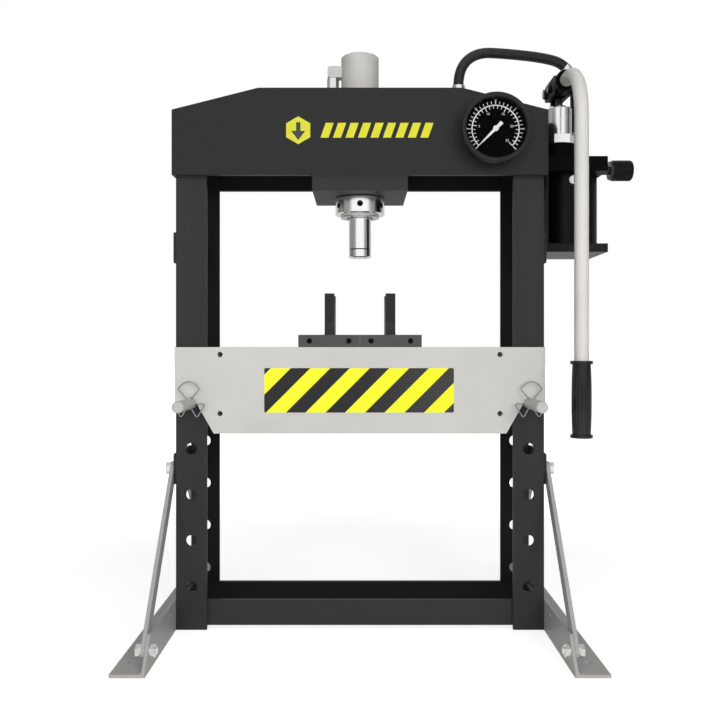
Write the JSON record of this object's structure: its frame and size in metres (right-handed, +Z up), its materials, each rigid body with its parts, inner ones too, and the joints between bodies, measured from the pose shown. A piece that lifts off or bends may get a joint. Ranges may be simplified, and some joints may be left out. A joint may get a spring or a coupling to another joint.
{
  "type": "hydraulic shop press",
  "caption": "H-frame bench press with a hand pump and hose, a cylinder in the beam, a pressure gauge and a pinned bed with V-blocks.",
  "frame": {"origin": "on the floor, midway between the columns and at the middle of the frame's depth: the centre of the floor bolt pattern", "axes": "+Z up along the ram's axis, +X to the operator's right (the pump's side), +Y away from the operator"},
  "size_m": [0.814, 0.55, 0.9751],
  "materials": {
    "frame_paint": "satin charcoal powder coat",
    "grey_paint": "satin light grey powder coat",
    "cylinder_paint": "satin light grey paint",
    "handle_paint": "satin grey paint",
    "block_paint": "satin dark grey paint",
    "tank_enamel": "gloss black enamel",
    "zinc": "bright zinc plate",
    "plated_steel": "turned and nickel plated",
    "machined_steel": "machined, oiled",
    "spring_steel": "plated spring wire",
    "pin_steel": "turned bar, satin plate",
    "chrome": "hard chrome, ground",
    "cast_black": "black painted casting",
    "seal_rubber": "nitrile rubber",
    "hose_rubber": "smooth black cover",
    "knob_plastic": "moulded, semi-gloss",
    "grip_plastic": "moulded, gloss",
    "gauge_black": "gloss black",
    "dial_face": "matt black with a white scale",
    "pointer_white": "matt white",
    "gauge_glass": "flat clear glass"
  },
  "bodies": {
    "frame": {"column_left": "frame_paint", "column_right": "frame_paint", "beam_plate_front": "frame_paint", "beam_plate_rear": "frame_paint", "column_tie_plates": "frame_paint", "lower_crossbars": "frame_paint", "cylinder_support_plate": "frame_paint", "foot_left": "grey_paint", "foot_right": "grey_paint", "braces_left": "grey_paint", "braces_right": "grey_paint", "foot_screws": "zinc", "brace_bolts": "zinc", "brace_washers": "zinc", "brace_nuts": "zinc", "cylinder_tube": "cylinder_paint", "cylinder_end_cap": "cylinder_paint", "ring_nut": "plated_steel", "gland_ring": "plated_steel", "rod_wiper": "seal_rubber", "return_spring": "spring_steel", "port_elbow": "zinc", "pipe_nuts": "zinc", "feed_pipe": "machined_steel", "gauge_manifold": "machined_steel", "hose_fittings": "zinc", "hose": "hose_rubber", "gauge_case": "gauge_black", "gauge_bezel": "gauge_black", "gauge_dial": "dial_face", "gauge_glass": "gauge_glass", "pump_bracket": "frame_paint", "oil_tank": "tank_enamel", "pump_head": "frame_paint", "filler_screw": "zinc", "barrel_base": "cast_black", "barrel_nut": "plated_steel", "pump_barrel": "plated_steel", "fulcrum_post": "cast_black"},
    "ram": {"ram_rod": "chrome", "pressure_pad": "chrome", "piston": "machined_steel", "piston_seal": "seal_rubber"},
    "bed": {"bed_plate_front": "grey_paint", "bed_plate_rear": "grey_paint", "bed_spacers": "grey_paint"},
    "v_block_left": {"v_block_left": "block_paint"},
    "v_block_right": {"v_block_right": "block_paint"},
    "pin_left": {"bed_pin_left": "pin_steel", "spring_clip_left": "spring_steel"},
    "pin_right": {"bed_pin_right": "pin_steel", "spring_clip_right": "spring_steel"},
    "lever": {"rocker_arm": "cast_black", "lever_pins": "zinc", "handle_tube": "handle_paint", "handle_grip": "grip_plastic"},
    "plunger": {"pump_plunger": "chrome"},
    "release_valve": {"release_spindle": "plated_steel", "release_knob": "knob_plastic"},
    "pointer": {"gauge_pointer": "pointer_white"}
  },
  "joints": [
    {"name": "ram_slide", "type": "slide", "parent": "frame", "child": "ram", "axis": [0, 0, -1], "range_m": [0, 0.13], "stiffness_N_per_m": 600, "springref_m": -0.08, "deforming": ["return_spring"]},
    {"name": "bed_lift", "type": "slide", "parent": "frame", "child": "bed", "axis": [0, 0, 1], "range_m": [0, 0.02]},
    {"name": "v_block_left_slide", "type": "slide", "parent": "bed", "child": "v_block_left", "axis": [-1, 0, 0], "range_m": [0, 0.14]},
    {"name": "v_block_right_slide", "type": "slide", "parent": "bed", "child": "v_block_right", "axis": [1, 0, 0], "range_m": [0, 0.14]},
    {"name": "pin_left_pull", "type": "slide", "parent": "frame", "child": "pin_left", "axis": [0, -1, 0], "range_m": [0, 0.17]},
    {"name": "pin_right_pull", "type": "slide", "parent": "frame", "child": "pin_right", "axis": [0, -1, 0], "range_m": [0, 0.17]},
    {"name": "lever_swing", "type": "hinge", "parent": "frame", "child": "lever", "pos_m": [0.34, 0.034, 0.902], "axis": [-1, 0, 0], "range_deg": [0, 40]},
    {"name": "plunger_slide", "type": "slide", "parent": "frame", "child": "plunger", "axis": [0, 0, 1], "range_m": [0, 0.0235]},
    {"name": "release_turn", "type": "hinge", "parent": "frame", "child": "release_valve", "pos_m": [0.425, 0, 0.762], "axis": [1, 0, 0], "range_deg": [0, 270]},
    {"name": "pointer_turn", "type": "hinge", "parent": "frame", "child": "pointer", "pos_m": [0.2155, -0.1, 0.808], "axis": [0, 1, 0], "range_deg": [0, 270], "stiffness_Nm_per_rad": 0.01}
  ],
  "couplings": [
    {"joint": "plunger_slide", "follows": "lever_swing", "m_per_rad": 0.0325}
  ]
}
